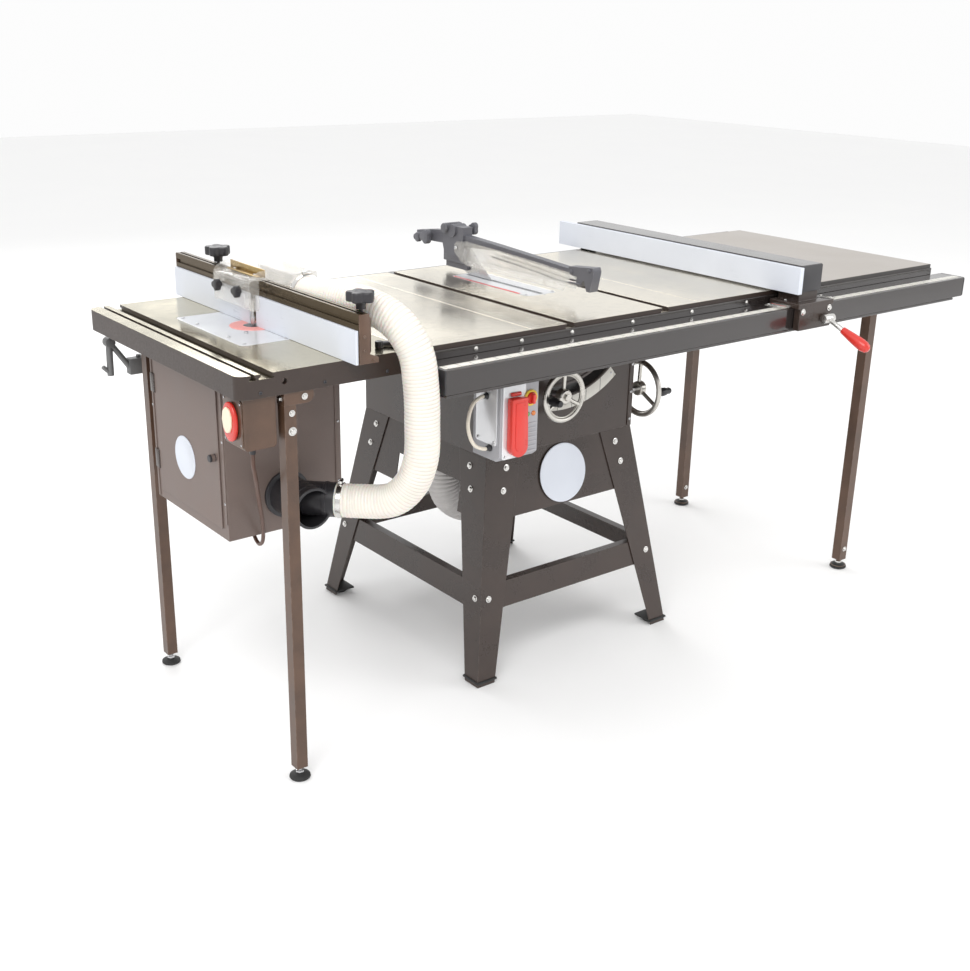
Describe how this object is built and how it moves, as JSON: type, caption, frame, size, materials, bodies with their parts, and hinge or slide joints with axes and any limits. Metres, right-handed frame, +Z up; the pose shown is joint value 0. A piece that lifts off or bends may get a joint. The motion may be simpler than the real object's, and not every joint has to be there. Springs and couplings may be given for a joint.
{
  "type": "table saw with router table",
  "caption": "Contractor table saw on a splayed stand, with fence rails, extension table, blade guard and an in-line router table with fence, dust hoses and enclosure.",
  "frame": {"origin": "centre of the machine's overall box, on the floor under its feet", "axes": "+Z up; +X along the fence rail, to the right of someone standing at the front; +Y from the front to the back"},
  "size_m": [2.154, 1.1941, 1.004],
  "materials": {
    "polished_iron": "ground and waxed",
    "black_paint": "satin black",
    "laminate": "grey laminate over board",
    "grey_paint": "satin grey",
    "steel": "bright",
    "aluminium": "cast",
    "anodised": "black anodised",
    "white_plastic": "white, smooth",
    "black_plastic": "moulded",
    "grey_plastic": "moulded",
    "red_plastic": "red",
    "clear_plastic": "clear",
    "hose_plastic": "translucent ribbed",
    "grey_hose": "ribbed"
  },
  "bodies": {
    "frame": {"left_wing": "polished_iron", "centre_table": "polished_iron", "right_wing": "polished_iron", "throat_insert": "steel", "extension_table": "laminate", "front_rail_tube": "black_paint", "front_rail_angle": "black_paint", "rear_rail_angle": "black_paint", "extension_leg_front": "black_paint", "extension_leg_rear": "black_paint", "cabinet": "black_paint", "saw_switch_box": "grey_plastic", "control_cable": "white_plastic", "stand_leg_front_left": "black_paint", "stand_leg_front_right": "black_paint", "stand_leg_rear_left": "black_paint", "stand_leg_rear_right": "black_paint", "stand_upper_frame": "black_paint", "stand_lower_frame": "black_paint", "saw_dust_hose": "grey_hose", "router_table": "polished_iron", "router_insert_plate": "aluminium", "router_leg_front": "black_paint", "router_leg_rear": "black_paint", "dust_box": "grey_paint", "duct_wye": "black_plastic", "router_dust_hose": "hose_plastic", "router_switch_box": "black_plastic", "router_switch_lead": "black_plastic", "router_fence_rail": "anodised", "router_fence_dust_port": "clear_plastic", "lift_crank": "steel"},
    "tilt_unit": {"trunnion_frame": "grey_paint", "saw_motor": "aluminium"},
    "carriage": {"arbor_carriage": "grey_paint", "riving_knife": "steel", "guard_arm": "aluminium"},
    "blade": {"saw_blade": "steel"},
    "shield_left": {"guard_shield_left": "clear_plastic"},
    "shield_right": {"guard_shield_right": "clear_plastic"},
    "elevation_wheel": {"elevation_handwheel": "aluminium"},
    "tilt_wheel": {"tilt_handwheel": "aluminium"},
    "stop_paddle": {"saw_switch_paddle": "red_plastic"},
    "power_knob": {"main_power_switch": "red_plastic"},
    "rip_fence": {"rip_fence_head": "black_paint", "rip_fence_beam": "anodised", "rip_fence_face": "white_plastic"},
    "rip_lever": {"rip_fence_lever": "red_plastic"},
    "router_paddle": {"router_switch_paddle": "red_plastic"},
    "enclosure_door": {"dust_box_door": "grey_paint"},
    "face_front": {"router_fence_face_front": "white_plastic"},
    "face_rear": {"router_fence_face_rear": "white_plastic"},
    "bit_shield": {"bit_guard": "clear_plastic"},
    "clamp_front": {"fence_knob_front": "black_plastic"},
    "clamp_rear": {"fence_knob_rear": "black_plastic"},
    "router_lift": {"router_motor": "aluminium"},
    "router_spindle": {"router_bit": "steel"},
    "foot_front": {"router_foot_front": "black_plastic"},
    "foot_rear": {"router_foot_rear": "black_plastic"}
  },
  "joints": [
    {"name": "blade_tilt", "type": "hinge", "parent": "frame", "child": "tilt_unit", "pos_m": [-0.137, 0.031, 0.873], "axis": [0, -1, 0], "range_deg": [0, 45]},
    {"name": "blade_elevation", "type": "slide", "parent": "tilt_unit", "child": "carriage", "axis": [0, 0, 1], "range_m": [0, 0.079]},
    {"name": "blade_spin", "type": "hinge", "parent": "carriage", "child": "blade", "pos_m": [-0.137, 0.031, 0.744], "axis": [1, 0, 0], "continuous": true},
    {"name": "shield_left_lift", "type": "hinge", "parent": "carriage", "child": "shield_left", "pos_m": [-0.1555, 0.217, 0.938], "axis": [-1, 0, 0], "range_deg": [0, 40]},
    {"name": "shield_right_lift", "type": "hinge", "parent": "carriage", "child": "shield_right", "pos_m": [-0.1185, 0.217, 0.938], "axis": [-1, 0, 0], "range_deg": [0, 40]},
    {"name": "elevation_wheel_turn", "type": "hinge", "parent": "tilt_unit", "child": "elevation_wheel", "pos_m": [-0.17482, -0.233, 0.66034], "axis": [0, 1, 0], "range_deg": [-10, 2890]},
    {"name": "tilt_wheel_turn", "type": "hinge", "parent": "frame", "child": "tilt_wheel", "pos_m": [0.146, -0.16, 0.613], "axis": [1, 0, 0], "range_deg": [-10, 4330]},
    {"name": "stop_paddle_swing", "type": "hinge", "parent": "frame", "child": "stop_paddle", "pos_m": [-0.459, -0.401, 0.756], "axis": [-1, 0, 0], "range_deg": [0, 15]},
    {"name": "power_switch_turn", "type": "hinge", "parent": "frame", "child": "power_knob", "pos_m": [-0.419, -0.405, 0.738], "axis": [0, 1, 0], "range_deg": [0, 90]},
    {"name": "rip_fence_slide", "type": "slide", "parent": "frame", "child": "rip_fence", "axis": [1, 0, 0], "range_m": [-0.455, 0.419]},
    {"name": "rip_lever_lift", "type": "hinge", "parent": "rip_fence", "child": "rip_lever", "pos_m": [0.45, -0.481, 0.815], "axis": [-1, 0, 0], "range_deg": [0, 60]},
    {"name": "router_paddle_swing", "type": "hinge", "parent": "frame", "child": "router_paddle", "pos_m": [-1.0613, -0.315, 0.816], "axis": [0, 1, 0], "range_deg": [0, 25]},
    {"name": "enclosure_door_swing", "type": "hinge", "parent": "frame", "child": "enclosure_door", "pos_m": [-1.0193, 0.128, 0.65], "axis": [0, 0, -1], "range_deg": [0, 110]},
    {"name": "face_front_slide", "type": "slide", "parent": "frame", "child": "face_front", "axis": [0, 1, 0], "range_m": [-0.03, 0.008]},
    {"name": "face_rear_slide", "type": "slide", "parent": "frame", "child": "face_rear", "axis": [0, 1, 0], "range_m": [-0.008, 0.03]},
    {"name": "bit_guard_lift", "type": "slide", "parent": "frame", "child": "bit_shield", "axis": [0, 0, 1], "range_m": [0, 0.05]},
    {"name": "clamp_front_turn", "type": "hinge", "parent": "frame", "child": "clamp_front", "pos_m": [-0.821, -0.377, 0.994], "axis": [0, 0, 1], "continuous": true},
    {"name": "clamp_rear_turn", "type": "hinge", "parent": "frame", "child": "clamp_rear", "pos_m": [-0.821, 0.198, 0.994], "axis": [0, 0, 1], "continuous": true},
    {"name": "router_height", "type": "slide", "parent": "frame", "child": "router_lift", "axis": [0, 0, 1], "range_m": [-0.03, 0.03]},
    {"name": "router_spin", "type": "hinge", "parent": "router_lift", "child": "router_spindle", "pos_m": [-0.855, -0.015, 0.86], "axis": [0, 0, 1], "continuous": true},
    {"name": "foot_front_turn", "type": "hinge", "parent": "frame", "child": "foot_front", "pos_m": [-0.968, -0.3485, 0.02], "axis": [0, 0, 1], "continuous": true},
    {"name": "foot_rear_turn", "type": "hinge", "parent": "frame", "child": "foot_rear", "pos_m": [-0.968, 0.267, 0.02], "axis": [0, 0, 1], "continuous": true}
  ],
  "couplings": [
    {"joint": "elevation_wheel_turn", "follows": "blade_elevation", "rad_per_m": 636.27},
    {"joint": "tilt_wheel_turn", "follows": "blade_tilt", "ratio": 96}
  ]
}
